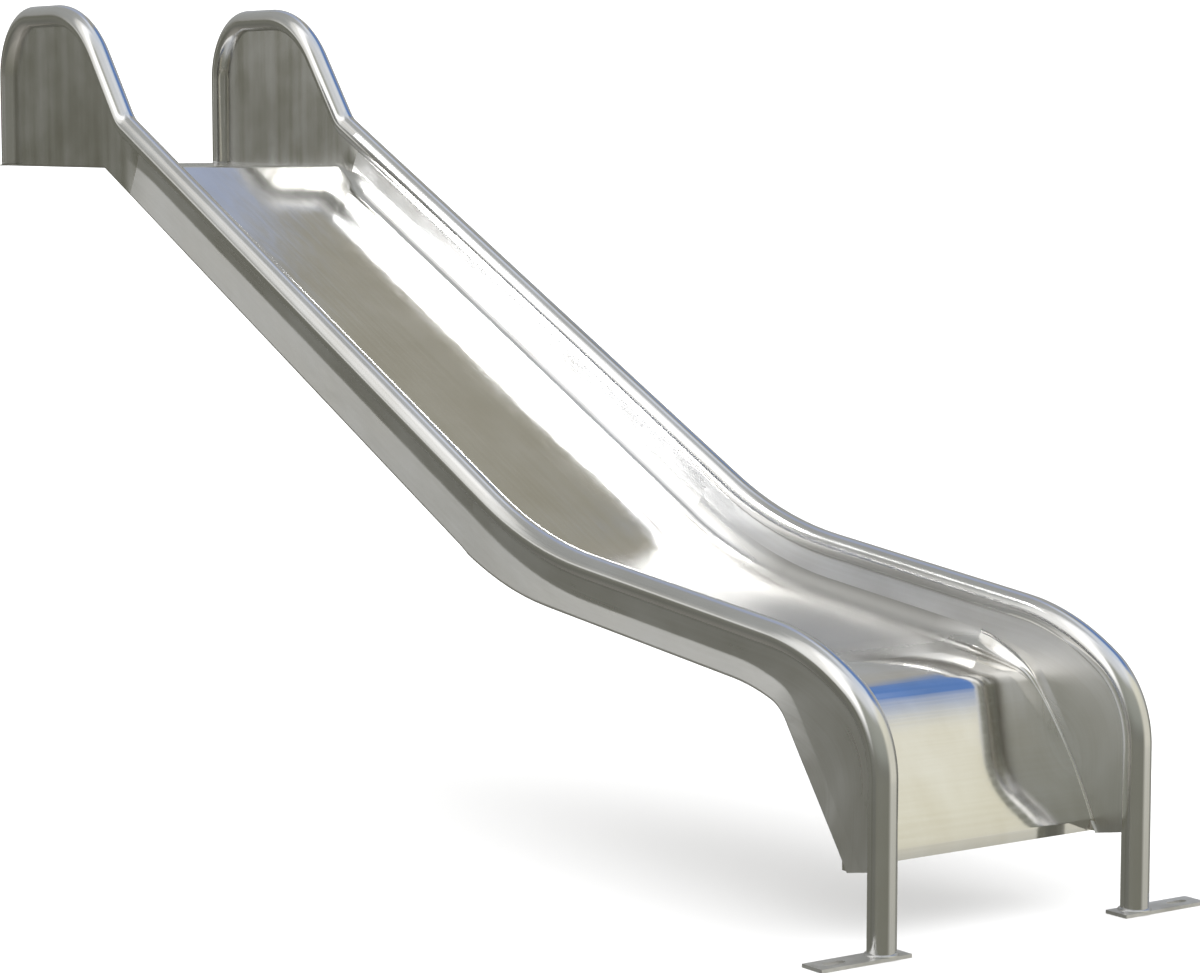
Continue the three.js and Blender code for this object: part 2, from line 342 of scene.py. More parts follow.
def bed_sheet(name, points, rises, bands, material, side=1, offset=0.0):
    """A sheet whose upper face follows the points. It thins out towards the edge of its corners.

    Side is 1 on a line that climbs the slide and -1 on one that comes down it."""
    rings = []
    grain = []
    for (y, z, h), rise, band, along in zip(points, rises, bands, run_lengths(points)):
        angle = math.radians(h)
        edge_y = y - side * rise * math.sin(angle)
        half = bed_half_section(rise, bed_edge_x(edge_y, rise + band - CORNER_RISE, band))
        upper = [(-x, lift) for x, lift in reversed(half[1:])] + half
        lower = []
        for i in range(len(half) - 1, -1, -1):
            nx, nl = section_normal(half, i)
            thin = min(1.0, max(0.0, (i - FLAT_STEPS) / CORNER_STEPS))
            thick = SHEET + (THIN_EDGE - SHEET) * thin
            lower.append((half[i][0] + thick * nx, half[i][1] + thick * nl))
        lower = lower + [(-x, lift) for x, lift in reversed(lower[:-1])]
        rings.append([
            Vector((x, y - side * lift * math.sin(angle), z + side * lift * math.cos(angle)))
            for x, lift in upper + lower
        ])
        grain.extend((offset + along, x, lift) for x, lift in upper + lower)
    piece = new_piece(name, rings, material, smooth_angle=50)
    add_grain(piece, grain)
    return piece


# Side sheets. Shares run from 0 at the rim to 1 at the lower edge, and the points across a sheet
# are set out as if its crease lay midway.
ACROSS_STEPS = 26
MIDWAY = 0.5
CREASE_STEPS = (-0.03, -0.02, -0.01, 0.0, 0.01, 0.02, 0.03)
EDGE_STEPS = (0.93, 0.955, 0.97, 0.985, 0.995, 1.0)
EDGE_ROLL = 0.005
SOFT_CREASE = 0.035
HIGHEST_CREASE = 0.3


def lean(t, crease, inset, flare, width):
    """How far the sheet lies inside the rim's plane at t, from 0 at the rim to 1 at its edge."""
    soft = SOFT_CREASE
    tent = min(t / crease, (1 - t) / (1 - crease))
    if abs(t - crease) < soft:
        reach = (t - crease + soft) / (2 * soft)
        low = (crease - soft) / crease
        high = (1 - crease - soft) / (1 - crease)
        tent = (1 - reach) ** 2 * low + 2 * reach * (1 - reach) + reach ** 2 * high
    value = inset * tent - flare * max(0.0, (t - crease) / (1 - crease))
    roll = EDGE_ROLL / width
    if t > 1 - roll:
        turned = (t - 1 + roll) / roll
        value += EDGE_ROLL * (1 - math.sqrt(max(0.0, 1 - turned * turned)))
    return value


def across_steps():
    base = [i / ACROSS_STEPS for i in range(ACROSS_STEPS)]
    fine = [MIDWAY + d for d in CREASE_STEPS]
    return sorted(set(round(t, 4) for t in base + fine + list(EDGE_STEPS)))


def side_sheet(name, top, bottom, bands, sign, material):
    """A sheet ruled between two lines of (y, z), with its crease one band above its lower edge."""
    rings = []
    grain = []
    along = run_lengths([(y, z, 0) for y, z in top])
    for (ty, tz), (by, bz), band, run in zip(top, bottom, bands, along):
        width = math.hypot(by - ty, bz - tz)
        crease = max(HIGHEST_CREASE, 1 - band / width)
        inset = crease_inset(ty + (by - ty) * crease)
        flare = edge_flare(by)
        outer = []
        inner = []
        for s in across_steps():
            if s < MIDWAY:
                t = s * crease / MIDWAY
            else:
                t = crease + (s - MIDWAY) * (1 - crease) / (1 - MIDWAY)
            leaned = lean(t, crease, inset, flare, width)
            y = ty + (by - ty) * t
            z = tz + (bz - tz) * t
            outer.append((sign * (RAIL_X + SHEET / 2 - leaned), y, z, t * width))
            inner.append((sign * (RAIL_X - SHEET / 2 - leaned), y, z, t * width))
        ring = outer + inner[::-1]
        rings.append([Vector(p[:3]) for p in ring])
        grain.extend((run, p[3], p[0]) for p in ring)
    piece = new_piece(name, rings, material, smooth_angle=45)
    add_grain(piece, grain)
    return piece


def resampled(line, count):
    """The line as this many points at equal distances."""
    lengths = run_lengths([(y, z, 0) for y, z in line])
    result = []
    k = 0
    for i in range(count):
        target = lengths[-1] * i / (count - 1)
        while k < len(lengths) - 2 and lengths[k + 1] < target:
            k += 1
        span = lengths[k + 1] - lengths[k]
        part = (target - lengths[k]) / span if span else 0.0
        result.append(tuple(line[k][c] + (line[k + 1][c] - line[k][c]) * part for c in (0, 1)))
    return result


def flat(points):
    return [(y, z) for y, z, _ in points]


# ---------------------------------------------------------------- materials
# Wear that all the metals share: the noise of the clouds per metre, how far they change the
# roughness as a share of it, what streaks add to it, and how strongly streaks mix into the colour.
CLOUD_SCALE = (5.0, 9.0, 9.0)
ROUGHNESS_SPREAD = 0.15
STREAK_SMEAR = 0.04
STREAK_PART = 5

# Satin parts of the bed turn rougher, and their colour darkens to the first value below: painted
# shade that dims what they mirror. A corner starts to turn dull where it has risen by CORNER_DULL.
SATIN_SHADED_BASE = 0.52
SATIN_ROUGHNESS = 0.30
CORNER_DULL = 0.010


def steel(name, base, roughness, streak_scale, wave_scale, coords="grain", wave=0.0004,
          streak=0.00002, blotch=0.08, streak_shade=0.05, tint=(1.0, 0.985, 0.95), satin_with_shade=None,
          satin_corner=False):
    """Stainless steel with a grain, slight waves in the sheet and cloudy wear over it.

    streak_scale and wave_scale are noise frequencies per metre along the three grain or object
    axes. wave and streak are heights in metres. blotch is how far the colour changes, and
    streak_shade how much of that follows the streaks. satin_with_shade gives four places along
    the grain: between the first two the surface turns rougher and its colour darkens, as painted
    shade that dims what it mirrors, and between the last two it turns polished again.
    satin_corner dulls the raised corners."""
    material = bpy.data.materials.new(name)
    material.use_nodes = True
    nodes = material.node_tree.nodes
    links = material.node_tree.links
    shader = nodes["Principled BSDF"]
    shader.inputs["Metallic"].default_value = 1.0
    if coords == "grain":
        source = nodes.new("ShaderNodeAttribute")
        source.attribute_name = "grain"
        place = source.outputs["Vector"]
    else:
        source = nodes.new("ShaderNodeTexCoord")
        place = source.outputs["Object"]

    def noise(scale, detail):
        mapping = nodes.new("ShaderNodeMapping")
        mapping.inputs["Scale"].default_value = scale
        links.new(place, mapping.inputs["Vector"])
        texture = nodes.new("ShaderNodeTexNoise")
        texture.inputs["Scale"].default_value = 1.0
        texture.inputs["Detail"].default_value = detail
        links.new(mapping.outputs["Vector"], texture.inputs["Vector"])
        return texture.outputs["Fac"]

    def ranged(value, to_low, to_high, low=0.3, high=0.7):
        """The part of a value between low and high, which hold most of a noise, spread out."""
        span = nodes.new("ShaderNodeMapRange")
        span.inputs["From Min"].default_value = low
        span.inputs["From Max"].default_value = high
        span.inputs["To Min"].default_value = to_low
        span.inputs["To Max"].default_value = to_high
        links.new(value, span.inputs["Value"])
        return span.outputs["Result"]

    def summed(a, b):
        add = nodes.new("ShaderNodeMath")
        add.operation = "ADD"
        links.new(a, add.inputs[0])
        links.new(b, add.inputs[1])
        return add.outputs["Value"]

    waves = noise(wave_scale, detail=2.0)
    streaks = noise(streak_scale, detail=3.0)
    clouds = noise(CLOUD_SCALE, detail=4.0)

    shade = nodes.new("ShaderNodeMix")
    shade.data_type = "RGBA"
    shade.inputs["A"].default_value = (*[base * (1 - blotch) * t for t in tint], 1)
    shade.inputs["B"].default_value = (*[base * (1 + blotch / 2)] * 3, 1)
    by_streaks = streak_shade * STREAK_PART
    worn = summed(ranged(clouds, 0.0, 1 - by_streaks), ranged(streaks, 0.0, by_streaks))
    links.new(worn, shade.inputs["Factor"])
    colour = shade.outputs["Result"]

    smoothest = roughness * (1 - ROUGHNESS_SPREAD)
    roughest = roughness * (1 + ROUGHNESS_SPREAD)
    rough = summed(ranged(clouds, smoothest, roughest), ranged(streaks, 0.0, STREAK_SMEAR))
    split = nodes.new("ShaderNodeSeparateXYZ")
    links.new(place, split.inputs["Vector"])
    if satin_corner:
        lift = split.outputs["Z"]
        rough = summed(rough, ranged(lift, 0.0, SATIN_ROUGHNESS, CORNER_DULL, CORNER_RISE))
    if satin_with_shade:
        along = split.outputs["X"]
        satin_and_shade_mask = nodes.new("ShaderNodeMath")
        satin_and_shade_mask.operation = "MULTIPLY"
        links.new(ranged(along, 0.0, 1.0, satin_with_shade[0], satin_with_shade[1]), satin_and_shade_mask.inputs[0])
        links.new(ranged(along, 1.0, 0.0, satin_with_shade[2], satin_with_shade[3]), satin_and_shade_mask.inputs[1])
        # Painted shade: the satin zone's colour is darkened, which dims what it mirrors.
        painted_shade_mix = nodes.new("ShaderNodeMix")
        painted_shade_mix.data_type = "RGBA"
        links.new(satin_and_shade_mask.outputs["Value"], painted_shade_mix.inputs["Factor"])
        links.new(colour, painted_shade_mix.inputs["A"])
        painted_shade_mix.inputs["B"].default_value = (*[SATIN_SHADED_BASE * t for t in tint], 1)
        colour = painted_shade_mix.outputs["Result"]
        rough = summed(rough, ranged(satin_and_shade_mask.outputs["Value"], 0.0, SATIN_ROUGHNESS, 0.0, 1.0))
    links.new(colour, shader.inputs["Base Color"])
    links.new(rough, shader.inputs["Roughness"])

    relief = nodes.new("ShaderNodeBump")
    relief.inputs["Strength"].default_value = 1.0
    relief.inputs["Distance"].default_value = 1.0
    links.new(summed(ranged(waves, 0.0, wave, 0.0, 1.0), ranged(streaks, 0.0, streak, 0.0, 1.0)),
              relief.inputs["Height"])
    links.new(relief.outputs["Normal"], shader.inputs["Normal"])
    return material


rim_steel = steel(
    "rim_steel", base=0.74, roughness=0.13,
    streak_scale=(3.0, 260.0, 260.0), wave_scale=(9.0, 30.0, 30.0), wave=0.00015,
)
# Along the run-out the bed turns rougher, and its colour is darkened as painted shade that dims what
# it mirrors.
bed_steel = steel(
    "bed_steel", base=0.78, roughness=0.09,
    streak_scale=(1.5, 160.0, 20.0), wave_scale=(7.0, 16.0, 16.0), wave=0.0005,
    satin_with_shade=(0.0, 0.12, 0.56, 0.74), satin_corner=True,
)
plate_steel = steel(
    "plate_steel", base=0.80, roughness=0.06,
    streak_scale=(150.0, 4.0, 20.0), wave_scale=(12.0, 6.0, 12.0), wave=0.0003,
    streak=0.00003, tint=(1.0, 0.97, 0.9),
)
panel_steel = steel(
    "panel_steel", base=0.74, roughness=0.30,
    streak_scale=(3.0, 190.0, 10.0), wave_scale=(12.0, 30.0, 10.0), blotch=0.12,
)
ear_steel = steel(
    "ear_steel", base=0.66, roughness=0.17, coords="object",
    streak_scale=(4.0, 26.0, 0.9), wave_scale=(6.0, 9.0, 4.0),
    blotch=0.22, streak_shade=0.10, streak=0.00001, tint=(1.0, 0.98, 0.88),
)
foot_steel = steel(
    "foot_steel", base=0.74, roughness=0.36, coords="object",
    streak_scale=(60.0, 60.0, 60.0), wave_scale=(200.0, 200.0, 200.0), wave=0.0002, blotch=0.3,
)
hidden_steel = steel(
    "hidden_steel", base=0.5, roughness=0.45, coords="object",
    streak_scale=(8.0, 90.0, 90.0), wave_scale=(40.0, 40.0, 40.0), wave=0.0002, blotch=0.2,
)
deck_steel = steel(
    "deck_steel", base=0.72, roughness=0.16, coords="object",
    streak_scale=(3.0, 220.0, 10.0), wave_scale=(10.0, 10.0, 10.0),
)
weld_steel = steel(
    "weld_steel", base=0.66, roughness=0.30, coords="object",
    streak_scale=(120.0, 120.0, 120.0), wave_scale=(260.0, 260.0, 260.0), blotch=0.25,
)

# ---------------------------------------------------------------- rims and legs
rims = {
    "leg": leg_line.points,
    "runout_rail": nose_line.points + runout_line.points[1:],
    "slope_rail": slope_line.points,
    "hoop": hoop_line.points,
}
for side_name, sign in SIDES:
    offset = 0.0
    for part, points in rims.items():
        rim = tube(f"{side_name}_{part}_tube", points, sign * RAIL_X, offset)
        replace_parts(rim, f"{side_name}_{part}")
        offset += run_lengths(points)[-1]

# ---------------------------------------------------------------- bed and end plate
# A band is the part of a side wall below its crease. The corner of the bed is full height along
# the run-out and the slope, and fades out before the deck and down the end plate.
RUNOUT_BAND = BED_DROP + SHEET - CREASE_DROP
SLOPE_BAND = SKIRT_DROP - CREASE_DROP
NOSE_BAND = RUNOUT_BAND
DECK_FADE = 0.15
DECK_FADE_END = 0.004
PLATE_FADE = 0.19


def faded_rise(share):
    return CORNER_RISE_MIN + (CORNER_RISE - CORNER_RISE_MIN) * smoothstep(share)


runout_bed = shifted(runout_line.points, BED_DROP)
bed = bed_sheet("runout_bed_sheet", runout_bed, [CORNER_RISE] * len(runout_bed),
                [RUNOUT_BAND] * len(runout_bed), bed_steel)
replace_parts(bed, "runout_bed")

slope_bed = slope_bed_line.points
slope_run = run_lengths(slope_bed)
fade_end = slope_run[-1] - DECK_FADE_END
slope_rises = [faded_rise((fade_end - run) / DECK_FADE) for run in slope_run]
bed = bed_sheet("slope_bed_sheet", slope_bed, slope_rises, [SLOPE_BAND] * len(slope_bed), bed_steel,
                offset=run_lengths(runout_bed)[-1])
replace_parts(bed, "slope_bed")

plate_points = plate_line.points
plate_rises = [faded_rise(1 - run / PLATE_FADE) for run in run_lengths(plate_points)]
plate = bed_sheet("end_plate_sheet", plate_points, plate_rises, [NOSE_BAND] * len(plate_points),
                  plate_steel, side=-1)
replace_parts(plate, "end_plate")


# ---------------------------------------------------------------- side sheets
def slope_side():
    top = flat(shifted(slope_line.points, WALL_TOP_DROP))
    bottom = flat(shifted(slope_line.points, SKIRT_DROP))
    return top, bottom, [SLOPE_BAND] * len(top)


def nearest_across(point, line):
    """The point of a line that lies straight below a rim point, square to the rim."""
    y, z, h = point
    ahead = (math.cos(math.radians(h)), math.sin(math.radians(h)))
    return min(line, key=lambda p: abs((p[0] - y) * ahead[0] + (p[1] - z) * ahead[1]))


# The skirt's lower edge leaves the line of the run-out this far up from the legs.
SKIRT_TAIL_Y = 0.952
SKIRT_SAMPLES = 600
tail_start = shifted([nose_line.end], BED_DROP + SHEET)[0]
tail_run = (LEG_Y + SKIRT_TAIL_Y - tail_start[0]) / math.cos(math.radians(RUNOUT_SLOPE))
skirt_tail = advanced(tail_start, tail_run)


def runout_side():
    """The skirt's lower edge rises out of the line of the run-out in one arc."""
    points = runout_line.points
    top = flat(shifted(points, WALL_TOP_DROP))
    tail = SideLine(*skirt_tail).bend_to(SKIRT_EASE_R, SLOPE, SKIRT_STEP)
    skirt_end = flat(shifted([points[-1]], SKIRT_DROP))
    lower = resampled([tail_start[:2]] + flat(tail.points) + skirt_end, SKIRT_SAMPLES)
    bottom = [nearest_across(p, lower) for p in points]
    bands = []
    for (ty, tz), (by, bz) in zip(top, bottom):
        bands.append(math.hypot(by - ty, bz - tz) - CREASE_DROP + WALL_TOP_DROP)
    return top, bottom, bands


# The lower corners of the nose sheet, measured from the legs' centre and the ground.
NOSE_STATIONS = 60
GUSSET_REAR_Y = 0.091
GUSSET_REAR_Z = 0.121
GUSSET_FRONT_Z = 0.134


def nose_side():
    """From the run-out down to the feet: ruled between the rim and the edge over the end plate."""
    top = flat(shifted(nose_line.points, WALL_TOP_DROP))
    top = resampled(top[::-1] + [(LEG_Y + WALL_TOP_DROP, GROUND + GUSSET_FRONT_Z)], NOSE_STATIONS)
    behind = flat(shifted(gusset_line.points, -SHEET))
    bottom = resampled(behind + [(LEG_Y + GUSSET_REAR_Y, GROUND + GUSSET_REAR_Z)], NOSE_STATIONS)
    return top, bottom, [NOSE_BAND] * NOSE_STATIONS


HOOP_STATIONS = 110
HOOP_BAND_GROWTH = 0.7


def hoop_side():
    """From the skirt up to the hoop: its lower edge tapers off and runs level under the deck."""
    top = resampled(flat(shifted(hoop_line.points, WALL_TOP_DROP)), HOOP_STATIONS)
    skirt_end = shifted([hoop_line.points[0]], SKIRT_DROP)[0]
    under_deck = DECK_Z - SHEET
    taper = advanced(skirt_end, (under_deck - skirt_end[1]) / math.sin(math.radians(SLOPE)))
    rear = (hoop_line.end[0] - WALL_TOP_DROP, under_deck)
    bottom = resampled([skirt_end[:2], taper[:2], rear], HOOP_STATIONS)
    bands = [min(SLOPE_BAND, RUNOUT_BAND + HOOP_BAND_GROWTH * (DECK_Z - z)) for _, z in bottom]
    return top, bottom, bands


SIDE_PARTS = {
    "slope_side": (slope_side, panel_steel, "slope_panel"),
    "runout_side": (runout_side, panel_steel, "runout_panel"),
    "nose_side": (nose_side, panel_steel, "nose_panel"),
    "hoop_side": (hoop_side, ear_steel, "hoop_panel"),
}
for side_name, sign in SIDES:
    for part, (outline, material, node) in SIDE_PARTS.items():
        sheet = side_sheet(f"{side_name}_{part}", *outline(), sign, material)
        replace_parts(sheet, f"{side_name}_{node}")


# ---------------------------------------------------------------- caps, feet and hidden pieces
def turned(name, x, y, profile):
    """A round piece on a plumb axis at (x, y), from rings of (radius, height)."""
    rings = [[Vector((x + dx, y + dy, z)) for dx, dy in circle(radius)] for radius, z in profile]
    return new_piece(name, rings, weld_steel, smooth_angle=60)


# The angle bars under the slope bed: leg and thickness of the angle, half its length, its fillets.
BAR_LEG = 0.025
BAR_THICK = 0.003
BAR_HALF = 0.262
BAR_FILLET = 0.0025
FILLET_STEPS = 5


def arc(centre, radius, start, end):
    """Points round a centre, with the angles in degrees."""
    steps = range(FILLET_STEPS + 1)
    turns = [math.radians(start + (end - start) * i / FILLET_STEPS) for i in steps]
    return [(centre[0] + radius * math.cos(t), centre[1] + radius * math.sin(t)) for t in turns]


def angle_bar(name, corner):
    """Rolled angle under the bed, one leg along the slope and the other square to it."""
    soft = BAR_FILLET
    inner = BAR_THICK + soft
    section = [(0, 0), (BAR_LEG, 0)]
    section += arc((BAR_LEG - soft, BAR_THICK - soft), soft, 0, 90)
    section += arc((inner, inner), soft, 270, 180)
    section += arc((BAR_THICK - soft, BAR_LEG - soft), soft, 0, 90)
    section += [(0, BAR_LEG)]
    slope = math.radians(SLOPE)
    rings = []
    for x in (-BAR_HALF, BAR_HALF):
        ring = []
        for along, drop in section:
            y = corner[0] + along * math.cos(slope) + drop * math.sin(slope)
            z = corner[1] + along * math.sin(slope) - drop * math.cos(slope)
            ring.append(Vector((x, y, z)))
        rings.append(ring)
    return new_piece(name, rings, hidden_steel, smooth_angle=40)


bars = sorted(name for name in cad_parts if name.startswith("cross_bar"))
for name in bars:
    bar_low, bar_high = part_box(name)
    drop_back = BAR_LEG * math.sin(math.radians(SLOPE))
    corner = (bar_low.y, bar_high.z - drop_back)
    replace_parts(angle_bar(f"{name}_angle", corner), name)

# The disc under each hoop has a softened lower edge, drawn in two steps.
CAP_THICK = 0.003
CAP_EDGE = 0.0008
CAP_EDGE_MIDDLE = CAP_EDGE * 0.3
for side_name, sign in SIDES:
    low = DECK_Z + GAP
    cap = turned(f"{side_name}_hoop_end", sign * RAIL_X, hoop_line.end[0], [
        (TUBE_R - CAP_EDGE, low),
        (TUBE_R - CAP_EDGE_MIDDLE, low + CAP_EDGE_MIDDLE),
        (TUBE_R, low + CAP_EDGE),
        (TUBE_R, low + CAP_THICK),
    ])
    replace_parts(cap, f"{side_name}_hoop_cap")

# A weld bead round the foot of each leg, with its outline as shares of its size.
WELD = 0.0045
WELD_OUTLINE = ((1.0, 0.0), (0.92, 0.35), (0.60, 0.68), (0.25, 0.90))
for side_name, sign in SIDES:
    base = FOOT_HIGH.z
    bead = [(TUBE_R + WELD * out, base + WELD * up) for out, up in WELD_OUTLINE]
    bead = [(TUBE_R - GAP, base)] + bead + [(TUBE_R - GAP, base + WELD)]
    turned(f"{side_name}_leg_weld", sign * RAIL_X, LEG_Y, bead)

DECK_EDGE = 0.0006
FOOT_EDGE = 0.0012
EDGE_SEGMENTS = 3
EDGE_ANGLE = 40


def finish_node(name, material, edge=None):
    """Gives a piece of the frame its metal and, where an edge radius is given, soft edges."""
    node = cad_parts[name]
    node.data.materials.clear()
    node.data.materials.append(material)
    if edge:
        bevel = node.modifiers.new("soft_edges", "BEVEL")
        bevel.width = edge
        bevel.segments = EDGE_SEGMENTS
        bevel.limit_method = "ANGLE"
        bevel.angle_limit = math.radians(EDGE_ANGLE)


finish_node("deck_plate", deck_steel, DECK_EDGE)
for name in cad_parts:
    if "foot_plate" in name:
        finish_node(name, foot_steel, FOOT_EDGE)
    elif "sleeve" in name:
        finish_node(name, hidden_steel)

# ---------------------------------------------------------------- floor, light and camera
scene = bpy.context.scene
scene.view_settings.view_transform = "Standard"

FLOOR_HALF = 30
FLOOR_WHITE = 0.92
FLOOR_ROUGHNESS = 0.9
floor_mesh = bpy.data.meshes.new("floor")
floor_mesh.from_pydata([
    (-FLOOR_HALF, -FLOOR_HALF, GROUND),
    (FLOOR_HALF, -FLOOR_HALF, GROUND),
    (FLOOR_HALF, FLOOR_HALF, GROUND),
    (-FLOOR_HALF, FLOOR_HALF, GROUND),
], [], [(0, 1, 2, 3)])
floor = bpy.data.objects.new("floor", floor_mesh)
scene.collection.objects.link(floor)
floor_paint = bpy.data.materials.new("floor_paint")
floor_paint.use_nodes = True
paint = floor_paint.node_tree.nodes["Principled BSDF"]
paint.inputs["Base Color"].default_value = (*[FLOOR_WHITE] * 3, 1)
paint.inputs["Roughness"].default_value = FLOOR_ROUGHNESS
paint.inputs["Specular IOR Level"].default_value = 0.0
floor_mesh.materials.append(floor_paint)
floor.visible_glossy = False

# What the metal mirrors: for each direction round the slide, colours by elevation in degrees.
GROUND_GLOW = (-90, 0.46, 0.44, 0.40)
ZENITH = (90, 0.80, 0.84, 0.92)
OPEN_SKY = [
    GROUND_GLOW, (-40, 0.28, 0.27, 0.24), (-22, 0.15, 0.15, 0.13), (-9, 0.16, 0.16, 0.13),
    (1, 0.17, 0.17, 0.14), (5, 0.80, 0.80, 0.78), (9, 1.08, 1.08, 1.05), (36, 1.05, 1.05, 1.03),
    (46, 0.86, 0.85, 0.81), (56, 1.0, 1.0, 1.0), (70, 0.95, 0.97, 1.0), ZENITH,
]
BRIGHT_CLOUD = [
    GROUND_GLOW, (-22, 0.16, 0.16, 0.14), (0, 0.20, 0.20, 0.17), (12, 0.90, 0.90, 0.88),
    (22, 1.60, 1.60, 1.58), (60, 1.60, 1.60, 1.60), (70, 1.0, 1.0, 1.05), ZENITH,
]
TREE_LINE = [
    GROUND_GLOW, (-40, 0.28, 0.27, 0.24), (-22, 0.18, 0.18, 0.16), (-9, 0.20, 0.20, 0.17),
    (0, 0.26, 0.26, 0.23), (3, 1.00, 1.00, 0.97), (6, 0.90, 0.90, 0.87), (10, 0.46, 0.46, 0.44),
    (24, 0.36, 0.37, 0.36), (50, 0.40, 0.41, 0.40), (62, 0.46, 0.47, 0.46), (76, 0.5, 0.51, 0.52),
    ZENITH,
]
HEDGE = [
    GROUND_GLOW, (-40, 0.28, 0.27, 0.24), (-22, 0.17, 0.17, 0.15), (-9, 0.19, 0.19, 0.16),
    (2, 0.16, 0.16, 0.13), (9, 0.34, 0.34, 0.32), (24, 0.38, 0.39, 0.38), (50, 0.40, 0.41, 0.40),
    (62, 0.46, 0.47, 0.46), (76, 0.5, 0.51, 0.52), ZENITH,
]
FAR_SIDE = [
    GROUND_GLOW, (-20, 0.24, 0.24, 0.21), (0, 0.16, 0.16, 0.13), (9, 0.22, 0.22, 0.20),
    (14, 0.40, 0.41, 0.40), (20, 0.38, 0.39, 0.38), (26, 0.42, 0.43, 0.44), (36, 0.44, 0.43, 0.39),
    (40, 0.38, 0.36, 0.30), (50, 0.37, 0.36, 0.29), (62, 0.8, 0.85, 0.95), ZENITH,
]
BLUE_SIDE = [
    GROUND_GLOW, (-12, 0.30, 0.30, 0.27), (0, 0.22, 0.22, 0.19), (12, 0.42, 0.43, 0.42),
    (27, 0.42, 0.44, 0.48), (33, 0.18, 0.29, 0.56), (50, 0.12, 0.25, 0.60), (60, 0.7, 0.8, 0.95),
    ZENITH,
]
PALE_SIDE = [
    GROUND_GLOW, (-12, 0.24, 0.24, 0.21), (0, 0.18, 0.18, 0.15), (12, 0.42, 0.43, 0.42),
    (28, 0.44, 0.46, 0.50), (36, 0.42, 0.48, 0.64), (50, 0.42, 0.48, 0.64), (60, 0.85, 0.9, 1.0),
    ZENITH,
]
NEAR_SIDE = [
    GROUND_GLOW, (-14, 0.52, 0.52, 0.48), (-8, 0.78, 0.76, 0.66), (20, 0.75, 0.73, 0.62),
    (32, 0.84, 0.82, 0.68), (47, 0.88, 0.86, 0.74), (60, 0.95, 0.97, 1.0), ZENITH,
]
BEHIND = [
    GROUND_GLOW, (-12, 0.22, 0.22, 0.18), (0, 0.20, 0.20, 0.17), (14, 0.30, 0.31, 0.27),
    (45, 0.38, 0.39, 0.34), (60, 0.8, 0.82, 0.84), ZENITH,
]
# The surround starts as BEHIND. Each of these then takes over from the one before, between two
# bearings in degrees, counted from uphill towards the right.
ROUND_THE_SLIDE = (
    (BRIGHT_CLOUD, -95, -78),
    (OPEN_SKY, -62, -52),
    (TREE_LINE, -45, -41),
    (HEDGE, -31.8, -29.8),
    (PALE_SIDE, 2, 22),
    (FAR_SIDE, 35.5, 38.5),
    (BLUE_SIDE, 48, 51.5),
    (NEAR_SIDE, 88, 110),
)
BACK_TO_BEHIND = (150, 178)

CLOUD_SIZE = 5.0
CLOUD_DETAIL = 3.0
CLOUD_STIR = 0.06
TWIST_FROM = 35
TWIST = 0.6
PLAIN_STRENGTH = 1.60


